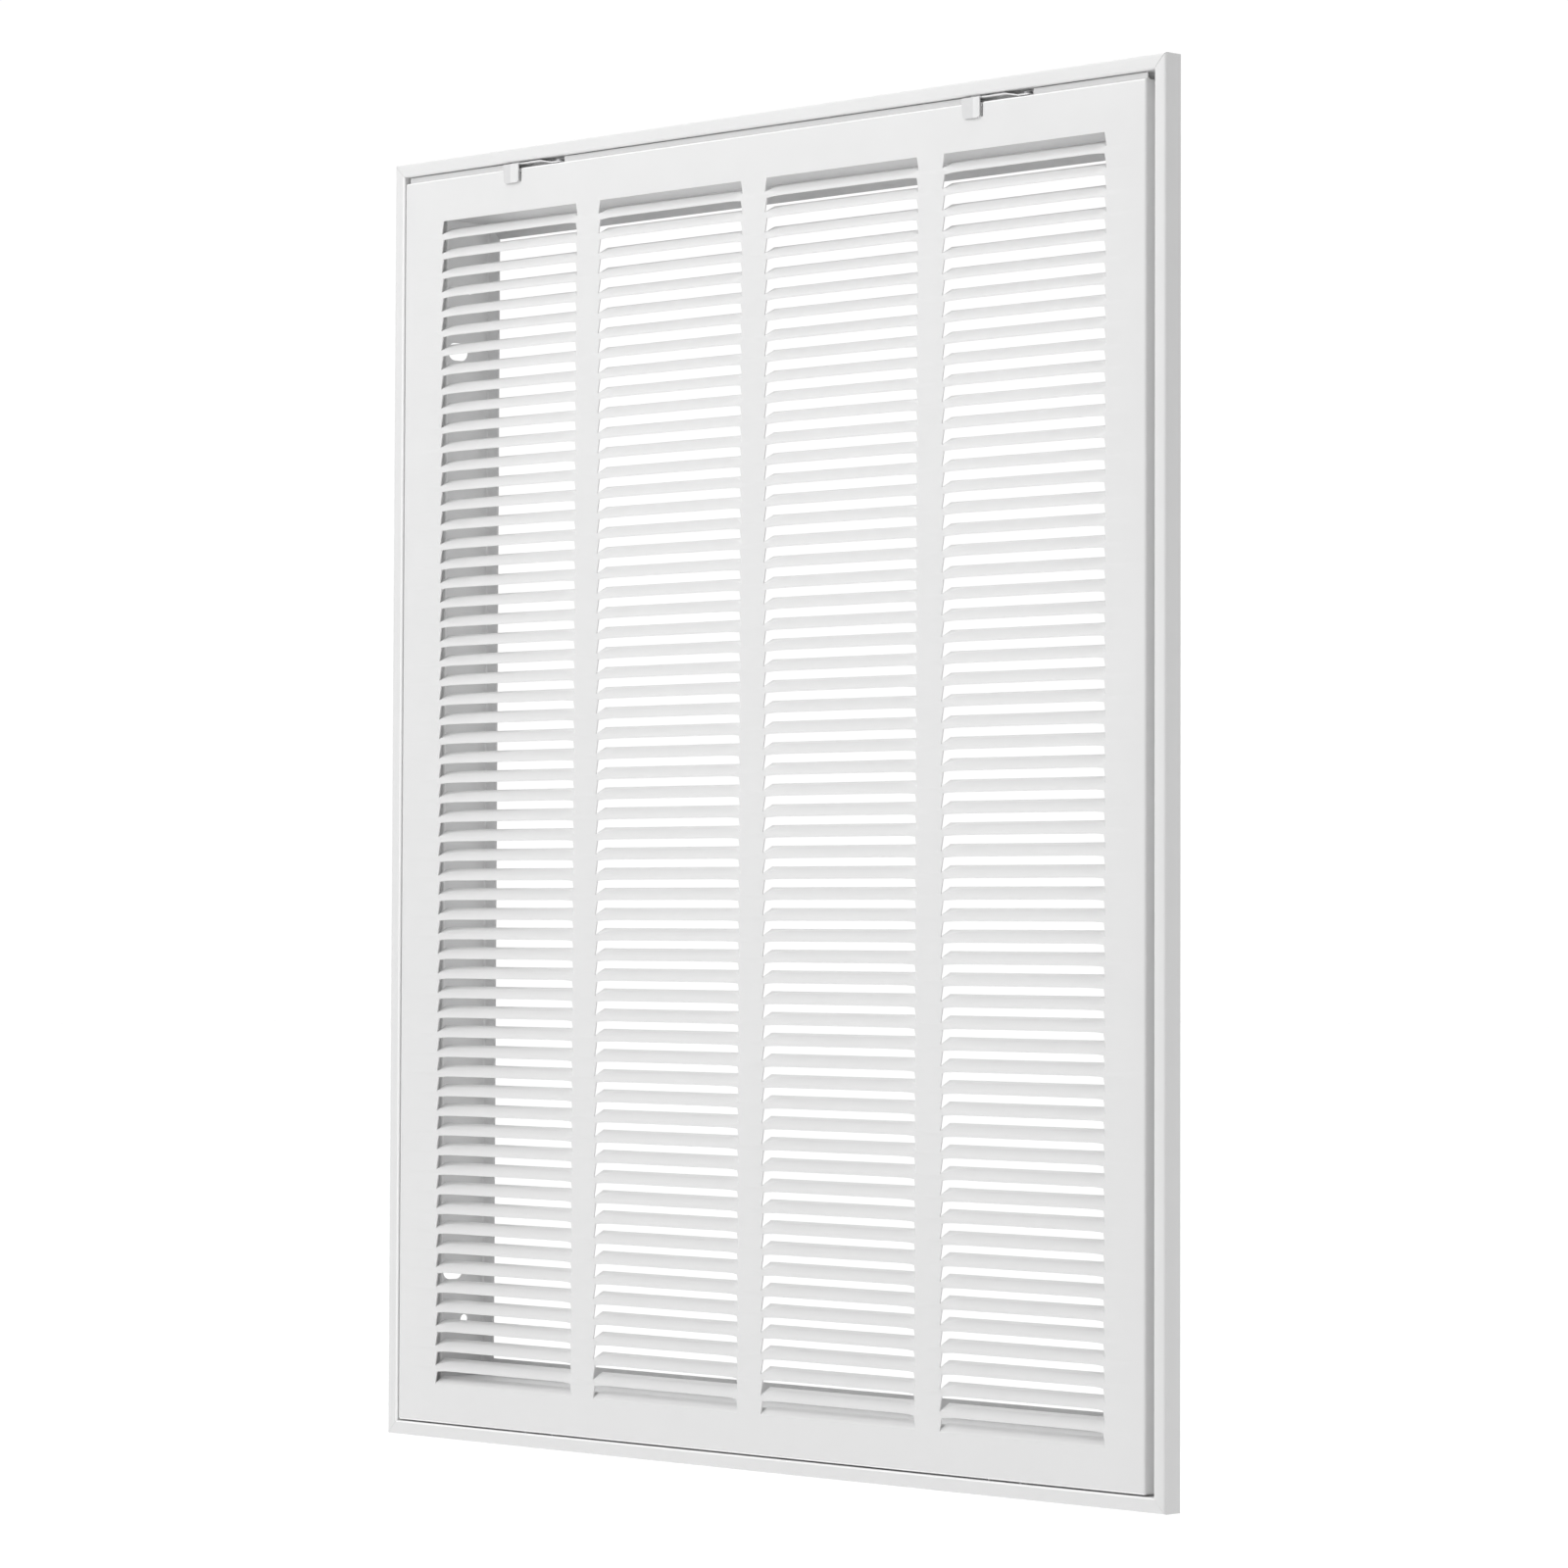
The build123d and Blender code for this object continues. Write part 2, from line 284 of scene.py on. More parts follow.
class Workpiece:
    """An object on the bench, shaped in edit mode with Blender's own operators."""

    def __init__(self, name: str) -> None:
        """Takes the object that a primitive has just added, and names it.

        Args:
            name: Name of the object.
        """
        self.object = bpy.context.object
        self.object.name = name
        self.object.data.name = name

    @classmethod
    def panel(cls, name: str, low: Vector, high: Vector, columns: int = 1, rows: int = 1) -> "Workpiece":
        """Adds a flat grid between two corners, flat along the direction they share.

        Args:
            name: Name of the object.
            low: The corner with the lowest values.
            high: The corner with the highest values.
            columns: Faces along the first free direction.
            rows: Faces along the second free direction.

        Returns:
            The new workpiece, facing up, or to the front if it stands across.
        """
        bpy.ops.object.select_all(action="DESELECT")
        size = high - low
        upright = size.y == 0
        bpy.ops.mesh.primitive_grid_add(
            x_subdivisions=columns, y_subdivisions=rows, size=1,
            location=(low + high) / 2, rotation=(math.pi / 2 if upright else 0, 0, 0),
        )
        bpy.context.object.scale = (size.x, size.z if upright else size.y, 1)
        bpy.ops.object.transform_apply(location=True, rotation=True, scale=True)
        return cls(name)

    @classmethod
    def block(cls, name: str, low: Vector, high: Vector) -> "Workpiece":
        """Adds a box between two corners.

        Args:
            name: Name of the object.
            low: The corner with the lowest values.
            high: The corner with the highest values.

        Returns:
            The new workpiece.
        """
        bpy.ops.object.select_all(action="DESELECT")
        bpy.ops.mesh.primitive_cube_add(size=1, location=(low + high) / 2)
        bpy.context.object.scale = high - low
        bpy.ops.object.transform_apply(location=True, rotation=True, scale=True)
        return cls(name)

    @classmethod
    def rod(cls, name: str, middle: Vector, radius: float, sides: int) -> "Workpiece":
        """Adds an upright round bar, as long as a cutter has to be.

        Args:
            name: Name of the object.
            middle: Its middle.
            radius: Its radius in metres.
            sides: Number of its sides.

        Returns:
            The new workpiece.
        """
        bpy.ops.object.select_all(action="DESELECT")
        bpy.ops.mesh.primitive_cylinder_add(
            vertices=sides, radius=radius, depth=THROUGH * MM, location=middle,
        )
        bpy.ops.object.transform_apply(location=True, rotation=True, scale=True)
        return cls(name)

    def activate(self) -> None:
        """Makes this the only selected object and the active one."""
        bpy.ops.object.select_all(action="DESELECT")
        self.object.select_set(True)
        bpy.context.view_layer.objects.active = self.object

    def edit(self) -> None:
        """Enters edit mode with vertices as the selection."""
        self.activate()
        bpy.ops.object.mode_set(mode="EDIT")
        bpy.ops.mesh.select_mode(type="VERT")

    def done(self) -> None:
        """Leaves edit mode."""
        bpy.ops.object.mode_set(mode="OBJECT")

    def pick(self, wanted: Callable[[Vector], bool]) -> None:
        """Selects the vertices in the wanted places, and the edges and faces between them.

        Args:
            wanted: Whether the vertex in this place is selected.
        """
        mesh = bmesh.from_edit_mesh(self.object.data)
        for vertex in mesh.verts:
            vertex.select = wanted(vertex.co)
        mesh.select_mode = {"VERT"}
        mesh.select_flush_mode()
        bmesh.update_edit_mesh(self.object.data)

    def pick_numbers(self, numbers: Iterable[int]) -> None:
        """Selects vertices by their numbers.

        Args:
            numbers: The numbers.
        """
        mesh = bmesh.from_edit_mesh(self.object.data)
        mesh.verts.ensure_lookup_table()
        chosen = set(numbers)
        for vertex in mesh.verts:
            vertex.select = vertex.index in chosen
        mesh.select_mode = {"VERT"}
        mesh.select_flush_mode()
        bmesh.update_edit_mesh(self.object.data)

    def pick_edges(self, wanted: Callable[[bmesh.types.BMEdge], bool]) -> None:
        """Selects the wanted edges and nothing else.

        Args:
            wanted: Whether this edge is selected.
        """
        bpy.ops.mesh.select_mode(type="EDGE")
        bpy.ops.mesh.select_all(action="DESELECT")
        mesh = bmesh.from_edit_mesh(self.object.data)
        mesh.select_mode = {"EDGE"}
        for edge in mesh.edges:
            edge.select = wanted(edge)
        mesh.select_flush_mode()
        bmesh.update_edit_mesh(self.object.data)

    def delete_faces(self, wanted: Callable[[Vector], bool]) -> None:
        """Deletes the faces whose middles are in the wanted places.

        Args:
            wanted: Whether the face with this middle is deleted.
        """
        bpy.ops.mesh.select_mode(type="FACE")
        bpy.ops.mesh.select_all(action="DESELECT")
        mesh = bmesh.from_edit_mesh(self.object.data)
        mesh.select_mode = {"FACE"}
        for face in mesh.faces:
            face.select = wanted(face.calc_center_median())
        bmesh.update_edit_mesh(self.object.data)
        bpy.ops.mesh.delete(type="FACE")
        bpy.ops.mesh.select_mode(type="VERT")

    def move(self, offset: Vector) -> None:
        """Moves what is selected."""
        bpy.ops.transform.translate(value=offset)

    def place_lines(self, axis: Axis, lines: Sequence[float]) -> None:
        """Moves the lines of a grid, which are evenly spaced at first, to their places.

        Args:
            axis: The direction in which the lines are moved.
            lines: Their places in millimetres, from the lowest.
        """
        mesh = bmesh.from_edit_mesh(self.object.data)
        values = [vertex.co[axis.value] for vertex in mesh.verts]
        low, high = min(values), max(values)
        step = (high - low) / (len(lines) - 1)
        numbers: list[list[int]] = [[] for _ in lines]
        for vertex, value in zip(mesh.verts, values):
            numbers[round((value - low) / step)].append(vertex.index)
        for i, place in enumerate(lines):
            offset = Vector((0, 0, 0))
            offset[axis.value] = place * MM - (low + i * step)
            self.pick_numbers(numbers[i])
            self.move(offset)

    def fold(self, offset: Vector) -> None:
        """Extrudes the selected edges by the offset, which folds the sheet that way."""
        bpy.ops.mesh.extrude_edges_move(TRANSFORM_OT_translate={"value": offset})

    def round_edges(self, radius: float, segments: int) -> None:
        """Rounds the selected edges.

        Args:
            radius: Radius in metres.
            segments: Faces around each bend.
        """
        bpy.ops.mesh.bevel(
            offset_type="OFFSET", offset=radius, segments=segments, affect="EDGES", clamp_overlap=False,
        )

    def cut(self, through: Vector, normal: Vector) -> None:
        """Cuts off what lies beyond a plane, and closes the cut."""
        bpy.ops.mesh.select_all(action="SELECT")
        bpy.ops.mesh.bisect(plane_co=through, plane_no=normal, use_fill=True, clear_outer=True)

    def modify(self, kind: str, **settings: object) -> None:
        """Adds a modifier and applies it.

        Args:
            kind: The modifier's type, such as SOLIDIFY.
            settings: Its settings by name.
        """
        self.activate()
        modifier = self.object.modifiers.new(kind.lower(), kind)
        for key, value in settings.items():
            setattr(modifier, key, value)
        bpy.ops.object.modifier_apply(modifier=modifier.name)

    def thicken(self, thickness: float) -> None:
        """Gives the sheet its thickness, behind the side that shows."""
        self.modify("SOLIDIFY", thickness=thickness, offset=-1.0, use_even_offset=True)

    def repeat(self, count: int, step: Vector) -> None:
        """Repeats the mesh in a row.

        Args:
            count: How many there are in all.
            step: The way from one to the next.
        """
        self.modify(
            "ARRAY", count=count, use_relative_offset=False, use_constant_offset=True,
            constant_offset_displace=step,
        )

    def subtract(self, cutters: Sequence["Workpiece"]) -> None:
        """Takes the cutters' shapes out of this one and removes them.

        Args:
            cutters: The cutters.
        """
        for cutter in cutters:
            self.modify("BOOLEAN", operation="DIFFERENCE", solver="EXACT", object=cutter.object)
            bpy.data.objects.remove(cutter.object)

    def join(self, others: Sequence["Workpiece"]) -> None:
        """Joins other workpieces into this one.

        Args:
            others: The other workpieces.
        """
        self.activate()
        for other in others:
            other.object.select_set(True)
        bpy.ops.object.join()

    def turn(self, angle: float) -> None:
        """Turns the workpiece about the line into the duct through the origin.

        Args:
            angle: The turn in radians.
        """
        self.activate()
        self.object.rotation_euler = (0, angle, 0)
        bpy.ops.object.transform_apply(location=False, rotation=True, scale=False)

    def finish(self, coat: SheetFinish, body: Body, node: str) -> None:
        """Smooths the workpiece, paints it and hands it to its body.

        Args:
            coat: Its finish.
            body: The body it moves with.
            node: The solid it stands for.
        """
        self.activate()
        bpy.ops.object.shade_smooth_by_angle(angle=SMOOTH_ANGLE)
        self.object.data.materials.clear()
        self.object.data.materials.append(coat.material())
        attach(self.object, body.value)
        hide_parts(node)
        faces = len(self.object.data.polygons)
        LOG.info("%s: %d faces, on %s", self.object.name, faces, body.value)

    def coat_faces(self, coat: SheetFinish, wanted: Callable[[Vector, Vector], bool]) -> None:
        """Gives some faces of the finished piece another finish.

        Args:
            coat: Their finish.
            wanted: Whether the face with this middle and this normal takes it.
        """
        mesh = self.object.data
        mesh.materials.append(coat.material())
        number = len(mesh.materials) - 1
        for face in mesh.polygons:
            if wanted(face.center, face.normal):
                face.material_index = number


# Frame


@dataclass
class FrameSide:
    """One folded and mitred side of the frame, made lying along the top and then turned.

    Args:
        name: Name of the piece.
        node: The solid it stands for.
        angle: Turn about the line into the duct, from the top side.
        half_length: Half the outside length.
        reach: Distance from the middle of the opening to the outside.
        seams: Gap left at the mitre at the low and at the high end.
        rim_depth: How far the rim stands in front of the wall.
        rim_face: Width of the rim's face.
        web: Distance from the outside to the inside of the collar.
        collar_depth: How far the collar reaches into the duct.
        lip: Width of the lip behind the filter.
        sheet: Thickness of the sheet.
        bend: Outside radius of the bends.
        bend_segments: Faces around a bend.
        inside: Coat of the collar, with painted shade.
    """

    name: str
    node: str
    angle: float
    half_length: float
    reach: float
    seams: tuple[float, float] = (0.12, 0.12)
    rim_depth: float = 13.0
    rim_face: float = 8.8
    web: float = 38.0
    collar_depth: float = 36.0
    lip: float = 10.7
    sheet: float = 0.7
    bend: float = 1.5
    bend_segments: int = 5
    inside: SheetFinish = COLLAR_SHADE_COAT

    def fold_sheet(self) -> Workpiece:
        """Folds the strip from the wall edge to the lip.

        Returns:
            The side along the top, with square ends.
        """
        side = Workpiece.panel(
            self.name,
            point(-self.half_length, -self.rim_depth, self.reach),
            point(self.half_length, 0, self.reach),
        )
        front = -self.rim_depth * MM
        side.edit()
        side.pick(lambda co: co.y < front / 2)
        side.fold(point(0, 0, -self.rim_face))
        side.fold(point(0, self.rim_depth - self.sheet, 0))
        side.fold(point(0, 0, self.rim_face - self.web))
        side.fold(point(0, self.collar_depth, 0))
        side.fold(point(0, 0, -self.lip))
        side.pick_edges(lambda edge: len(edge.link_faces) == 2)
        side.round_edges(self.bend * MM, self.bend_segments)
        side.done()
        side.thicken(self.sheet * MM)
        return side

    def cut_mitres(self, side: Workpiece) -> None:
        """Cuts both ends of the side at 45 degrees.

        Args:
            side: The side, lying along the top.
        """
        side.edit()
        for end, seam in zip((-1, 1), self.seams):
            normal = Vector((end, 0, -1)).normalized()
            through = point(end * self.half_length, 0, self.reach) - normal * seam / 2 * MM
            side.cut(through, normal)
        side.done()

    def holes(self) -> list[Workpiece]:
        """The cutters for this side's holes, where it lies along the top."""
        return []

    def coat(self, side: Workpiece) -> None:
        """Paints a highlight on the rim's inner bend where it does not face down, and painted shade on
        the collar.

        Args:
            side: The side in its place.
        """
        front = (self.bend - self.rim_depth) * MM
        inset = self.rim_face - self.bend
        low, high = sorted((self.reach, self.half_length))
        right, top = (low - inset) * MM, (high - inset) * MM
        # Painted highlight on the rim's inner bend, left off where it faces down
        side.coat_faces(HIGHLIGHT_COAT, lambda place, normal: place.y < front
                        and on_front_bend(normal) and normal.z > -ASIDE
                        and abs(place.x) < right and abs(place.z) < top)
        # Painted shade on the collar
        side.coat_faces(self.inside, lambda place, normal: place.y > self.bend * MM)

    def build(self) -> None:
        """Makes the side and puts it in place."""
        side = self.fold_sheet()
        self.cut_mitres(side)
        side.subtract(self.holes())
        side.turn(self.angle)
        side.finish(POWDER_COAT, Body.FRAME, self.node)
        self.coat(side)


@dataclass
class UprightSide(FrameSide):
    """A left or right side, with the screw holes and access slots in its collar.

    Args:
        along: Turns a height on the frame into a place along the side.
        screw_heights: Heights of the screw holes.
        screw_depth: Their distance behind the wall.
        screw_radius: Their radius.
        screw_sides: Sides of a round hole.
        slot_heights: Heights of the access slots.
        slot_depth: Distance of their middles behind the wall.
        slot_length: Their length, into the duct.
        slot_width: Their width.
        slot_sides: Sides of the round ends of a slot.
    """

    along: int = 1
    screw_heights: tuple[float, float] = (331.5, -339.7)
    screw_depth: float = 19.3
    screw_radius: float = 3.1
    screw_sides: int = 48
    slot_heights: tuple[float, float] = (290.1, -307.7)
    slot_depth: float = 9.5
    slot_length: float = 17.0
    slot_width: float = 11.4
    slot_sides: int = 64

    def holes(self) -> list[Workpiece]:
        """Makes the cutters for the round holes and the long ones.

        Returns:
            The cutters.
        """
        level = self.reach - self.web
        cutters = [
            Workpiece.rod("hole_cutter", point(self.along * height, self.screw_depth, level),
                          self.screw_radius * MM, self.screw_sides)
            for height in self.screw_heights
        ]
        straight = (self.slot_length - self.slot_width) / 2
        for height in self.slot_heights:
            cutter = Workpiece.rod("slot_cutter", point(self.along * height, self.slot_depth, level),
                                   self.slot_width / 2 * MM, self.slot_sides)
            middle = self.slot_depth * MM
            cutter.edit()
            cutter.pick(lambda co: co.y > middle + WELD)
            cutter.move(point(0, straight, 0))
            cutter.pick(lambda co: co.y < middle - WELD)
            cutter.move(point(0, -straight, 0))
            cutter.done()
            cutters.append(cutter)
        return cutters


@dataclass
class TopSide(FrameSide):
    """The top side, with the slots that the latch catches stand in.

    Args:
        catches: Middles of the slots across the frame.
        catch_depth: Distance of their middles in front of the wall.
        catch_size: Their size across and in depth.
    """

    catches: tuple[float, ...] = (-222.7, 185.3)
    catch_depth: float = 8.0
    catch_size: tuple[float, float] = (9.0, 4.0)

    def holes(self) -> list[Workpiece]:
        """Makes the cutters for the catch slots.

        Returns:
            The cutters.
        """
        level = self.reach - self.rim_face
        width, depth = self.catch_size
        return [
            Workpiece.block(
                "catch_cutter",
                point(x - width / 2, -self.catch_depth - depth / 2, level - THROUGH / 2),
                point(x + width / 2, -self.catch_depth + depth / 2, level + THROUGH / 2),
            )
            for x in self.catches
        ]


@dataclass
class BottomSide(FrameSide):
    """The bottom side, with the slots that the hinge ears hang in.

    Args:
        ears: Middles of the slots across the frame.
        slot_front: Where the slots start, in front of the wall.
        slot_back: Where they end, in front of the wall.
        slot_width: Their width across the frame.
    """

    ears: tuple[float, ...] = (-206.05, -180.95, 198.95, 224.05)
    slot_front: float = 10.9
    slot_back: float = 4.81
    slot_width: float = 1.7

    def holes(self) -> list[Workpiece]:
        """Makes the cutters for the ear slots, where the side lies along the top, turned over.

        Returns:
            The cutters.
        """
        level = self.reach - self.rim_face
        half = self.slot_width / 2
        return [
            Workpiece.block(
                "ear_cutter",
                point(-x - half, -self.slot_front, level - THROUGH / 2),
                point(-x + half, -self.slot_back, level + THROUGH / 2),
            )
            for x in self.ears
        ]


# Door


@dataclass
class LouvreDoor:
    """The door: one sheet with four columns of louvres and flanges on all four edges.

    Args:
        columns: Number of columns of louvres.
        rows: Number of slots in a column.
        column_width: Length of a louvre.
        post: Width of the posts between the columns.
        shift: How far the louvre field stands right of the frame's middle.
        slots_top: Height of the top edge of the first slot.
        pitch: Height from one slot to the next.
        slot: Height of a slot at the posts.
        last_slot: Height of the last slot, down to the bend of its flap.
        taper: How much further in each end of a slot is at its top than at its bottom.
        sheet: Thickness of the sheet.
        bend: Outside radius of the bends.
        bend_segments: Faces around a bend.
        flange: Depth of the flanges.
        neck_section: A louvre's line at the post, as depth and height from the neck's top.
        section: The same line away from the posts.
        neck_lines: How many points of the line lie on the neck.
        flap: The line of the flap under the last slot, from its bend.
        stations: Distances from the post at which a louvre's line is set.
        blend: How much of the post's line is left at each of them.
        lip_parts: Start, end and depth of each part of the stop lip on the top flange.
        lip_top: Height of its upper edge.
        lip_foot: Width of its foot on the flange.
        tab_slits: Middles of the slits beside the thumb tabs.
        slit_width: Width of a slit.
        slit_bottom: Height of its lower end.
        slit_depth: Where the cutter of a slit starts and ends in depth.
        edge_band: Width of the band along the edges in which the bends take the painted highlight.
    """

    columns: int = 4
    rows: int = 60
    column_width: float = 131.4
    post: float = 19.4
    shift: float = 0.4
    slots_top: float = 373.0
    pitch: float = 12.62
    slot: float = 8.6
    last_slot: float = 7.95
    taper: float = 1.7
    sheet: float = 0.7
    bend: float = 1.5
    bend_segments: int = 5
    flange: float = 10.0
    neck_section: tuple[tuple[float, float], ...] = (
        (0.0, -4.0), (0.0, -2.7), (0.0, -1.4), (0.0, 0.0), (4.2, 2.35), (8.3, 4.5),
    )
    section: tuple[tuple[float, float], ...] = (
        (0.0, -3.0), (0.35, -1.9), (1.2, -0.7), (5.2, 3.25), (6.75, 3.88), (8.3, 4.5),
    )
    neck_lines: int = 4
    flap: tuple[tuple[float, float], ...] = ((0.5, 0.9), (1.3, 1.6), (4.4, 3.4), (7.8, 5.0))
    stations: tuple[float, ...] = (0.0, 1.4, 2.8, 4.4, 6.4, 9.0, 12.5, 17.0)
    blend: tuple[float, ...] = (1.0, 0.85, 0.69, 0.5, 0.31, 0.15, 0.05, 0.0)
    lip_parts: tuple[tuple[float, float, float], ...] = (
        (-326.4, -232.0, -9.6), (-231.6, -194.1, -5.2), (-183.8, -176.4, -5.2),
        (-176.0, 176.0, -9.6), (176.4, 213.7, -5.2), (221.5, 231.6, -5.2),
        (232.0, 321.2, -9.6),
    )
    lip_top: float = 404.6
    lip_foot: float = 2.0
    tab_slits: tuple[float, ...] = (-214.8, 193.2)
    slit_width: float = 1.8
    slit_bottom: float = 391.8
    slit_depth: tuple[float, float] = (-14.0, -10.2)
    edge_band: float = 4.0

    def column_middles(self) -> list[float]:
        """Where the middle of each column stands across the frame."""
        step = self.column_width + self.post
        return [self.shift + (i - (self.columns - 1) / 2) * step for i in range(self.columns)]

    def column_edges(self) -> list[float]:
        """The left and right edges of the columns, from left to right."""
        half = self.column_width / 2
        return [x + side * half for x in self.column_middles() for side in (-1, 1)]

    def slots_bottom(self) -> float:
        """Height of the bottom edge of the last slot."""
        return self.slots_top - (self.rows - 1) * self.pitch - self.last_slot

    def face(self, low: Vector, high: Vector) -> Workpiece:
        """Makes the flat of the door with the places of the louvres left open.

        Args:
            low: Lowest corner of the solid door.
            high: Highest corner of the solid door.

        Returns:
            The flat sheet.
        """
        across = [low.x / MM, *self.column_edges(), high.x / MM]
        up = [low.z / MM, self.slots_bottom()]
        for row in range(self.rows - 2, -1, -1):
            neck_top = self.slots_top - row * self.pitch - self.slot
            up += [neck_top + z for _, z in self.neck_section[:self.neck_lines]]
        up += [self.slots_top, high.z / MM]
        face = Workpiece.panel(
            "door_sheet", Vector((low.x, low.y, low.z)), Vector((high.x, low.y, high.z)),
            len(across) - 1, len(up) - 1,
        )
        face.edit()
        face.place_lines(Axis.ACROSS, across)
        face.place_lines(Axis.UP, up)
        bottom, top = self.slots_bottom() * MM, self.slots_top * MM
        half = self.column_width / 2 * MM
        middles = [x * MM for x in self.column_middles()]
        face.delete_faces(
            lambda co: bottom < co.z < top and any(abs(co.x - x) < half for x in middles)
        )
        face.done()
        return face

    def louvres(self, front: float) -> Workpiece:
        """Makes one louvre and repeats it down and across.

        Args:
            front: Depth of the door's face in millimetres.

        Returns:
            All louvres but the flaps under the last slots.
        """
        half = self.column_width / 2
        inner = [half - s for s in reversed(self.stations)]
        across = [-x for x in reversed(inner)] + inner
        first = self.column_middles()[0]
        neck_top = self.slots_top - self.slot
        louvre = Workpiece.panel(
            "louvres",
            point(first - half, front, neck_top + self.section[0][1]),
            point(first + half, front, neck_top + self.section[-1][1]),
            len(across) - 1, len(self.section) - 1,
        )
        louvre.edit()
        louvre.place_lines(Axis.ACROSS, [first + x for x in across])
        louvre.place_lines(Axis.UP, [neck_top + z for _, z in self.section])
        for depth, height in self.section:
            level = (neck_top + height) * MM
            louvre.pick(lambda co: abs(co.z - level) < WELD)
            louvre.move(point(0, depth, 0))
        for station, share in zip(self.stations[:-1], self.blend):
            place = (half - station) * MM
            for (depth, height), (neck_depth, neck_height) in zip(self.section, self.neck_section):
                level = (neck_top + height) * MM
                louvre.pick(
                    lambda co: abs(abs(co.x - first * MM) - place) < WELD and abs(co.z - level) < WELD
                )
                louvre.move(point(0, neck_depth - depth, neck_height - height) * share)
        louvre.done()
        louvre.repeat(self.rows - 1, point(0, 0, -self.pitch))
        louvre.repeat(self.columns, point(self.column_width + self.post, 0, 0))
        return louvre

    def taper_slots(self, door: Workpiece) -> None:
        """Moves the posts' edges in towards the top of each slot.

        Args:
            door: The door, in edit mode.
        """
        half = self.column_width / 2 * MM
        middles = [x * MM for x in self.column_middles()]
        pitch = self.pitch * MM
        neck_height = -self.neck_section[0][1]

        def in_rows(height: float, first: float, rows: int) -> bool:
            """Whether a height is that of a line which the first rows have."""
            row = round((first - height) / pitch)
            return 0 <= row < rows and abs(first - row * pitch - height) < WELD

        lines = [(self.slots_top, 1.0, 1)]
        lines += [(self.slots_top - self.slot + z, -z / neck_height, self.rows)
                  for _, z in self.neck_section[:self.neck_lines - 1]]
        for height, share, rows in lines:
            for side in (-1, 1):
                door.pick(lambda co: in_rows(co.z, height * MM, rows)
                          and any(abs(co.x - x - side * half) < WELD for x in middles))
                door.move(point(-side * share * self.taper, 0, 0))

    def bend_flaps(self, door: Workpiece) -> None:
        """Folds the flaps under the last slots back from the bottom margin.

        Args:
            door: The door, in edit mode.
        """
        level = self.slots_bottom() * MM
        edges = [x * MM for x in self.column_edges()]
        door.pick_edges(lambda edge: len(edge.link_faces) == 1
                        and all(abs(v.co.z - level) < WELD for v in edge.verts)
                        and edge.calc_length() > self.post * 2 * MM
                        and all(any(abs(v.co.x - x) < WELD for x in edges) for v in edge.verts))
        last = (0.0, 0.0)
        for depth, height in self.flap:
            door.fold(point(0, depth - last[0], height - last[1]))
            last = (depth, height)

    def fold_flanges(self, door: Workpiece, low: Vector, high: Vector) -> None:
        """Folds the four flanges back and rounds their bends.

        Args:
            door: The door, in edit mode.
            low: Lowest corner of the solid door.
            high: Highest corner of the solid door.
        """

        def on_line(edge: bmesh.types.BMEdge, axis: Axis, place: float) -> bool:
            """Whether an edge lies at one place along a direction."""
            return all(abs(v.co[axis.value] - place) < WELD for v in edge.verts)

        def sides_at(edge: bmesh.types.BMEdge) -> int:
            """The number of the flat's sides that an edge lies on."""
            return sum(on_line(edge, axis, place) for axis, place in sides)

        sides = ((Axis.ACROSS, low.x), (Axis.ACROSS, high.x), (Axis.UP, low.z), (Axis.UP, high.z))
        front = low.y
        door.pick_edges(lambda edge: sides_at(edge) > 0)
        door.fold(point(0, self.flange, 0))
        door.pick_edges(lambda edge: sides_at(edge) == 2
                        or (sides_at(edge) == 1 and on_line(edge, Axis.DEPTH, front)))
        door.round_edges(self.bend * MM, self.bend_segments)

    def stop_lip(self, start: float, end: float, depth: float, level: float) -> Workpiece:
        """Folds one part of the stop lip that stands on the top flange.

        Args:
            start: Its left end.
            end: Its right end.
            depth: Depth of its front.
            level: Height of the flange in millimetres.

        Returns:
            The lip with its foot.
        """
        lip = Workpiece.panel("stop_lip", point(start, depth, level), point(end, depth, self.lip_top))
        middle = (level + self.lip_top) / 2 * MM
        lip.edit()
        lip.pick(lambda co: co.z < middle)
        lip.fold(point(0, self.lip_foot, 0))
        lip.pick_edges(lambda edge: len(edge.link_faces) == 2)
        lip.round_edges(self.sheet * MM, self.bend_segments)
        lip.done()
        lip.thicken(self.sheet * MM)
        return lip

    def slit_cutters(self) -> list[Workpiece]:
        """Makes the cutters for the slits beside the thumb tabs.

        Returns:
            The cutters.
        """
        front, back = self.slit_depth
        half = self.slit_width / 2
        return [
            Workpiece.block("slit_cutter", point(x - half, front, self.slit_bottom),
                            point(x + half, back, self.lip_top))
            for x in self.tab_slits
        ]

    def paint_bend_highlights(self, door: Workpiece, low: Vector, high: Vector) -> None:
        """Paints a highlight on the bends along the left, top and bottom edges.

        Args:
            door: The finished door.
            low: Lowest corner of the solid door.
            high: Highest corner of the solid door.
        """
        band = self.edge_band * MM
        rear = low.y + self.bend * MM
        # Painted highlight on the door's bends, left off where they face right, away from the light
        door.coat_faces(HIGHLIGHT_COAT, lambda place, normal: place.y < rear
                        and on_front_bend(normal) and normal.x < ASIDE
                        and not (low.x + band < place.x < high.x - band
                                 and low.z + band < place.z < high.z - band))

    def build(self) -> None:
        """Makes the door and puts it in place of its solid."""
        low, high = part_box("door")
        door = self.face(low, high)
        door.join([self.louvres(low.y / MM)])
        door.edit()
        bpy.ops.mesh.select_all(action="SELECT")
        bpy.ops.mesh.remove_doubles(threshold=WELD)
        self.bend_flaps(door)
        self.taper_slots(door)
        self.fold_flanges(door, low, high)
        door.done()
        door.thicken(self.sheet * MM)
        door.subtract(self.slit_cutters())
        door.join([self.stop_lip(*part, high.z / MM) for part in self.lip_parts])
        door.object.name = "door_panel"
        door.finish(POWDER_COAT, Body.DOOR, "door")
        self.paint_bend_highlights(door, low, high)


# Latches


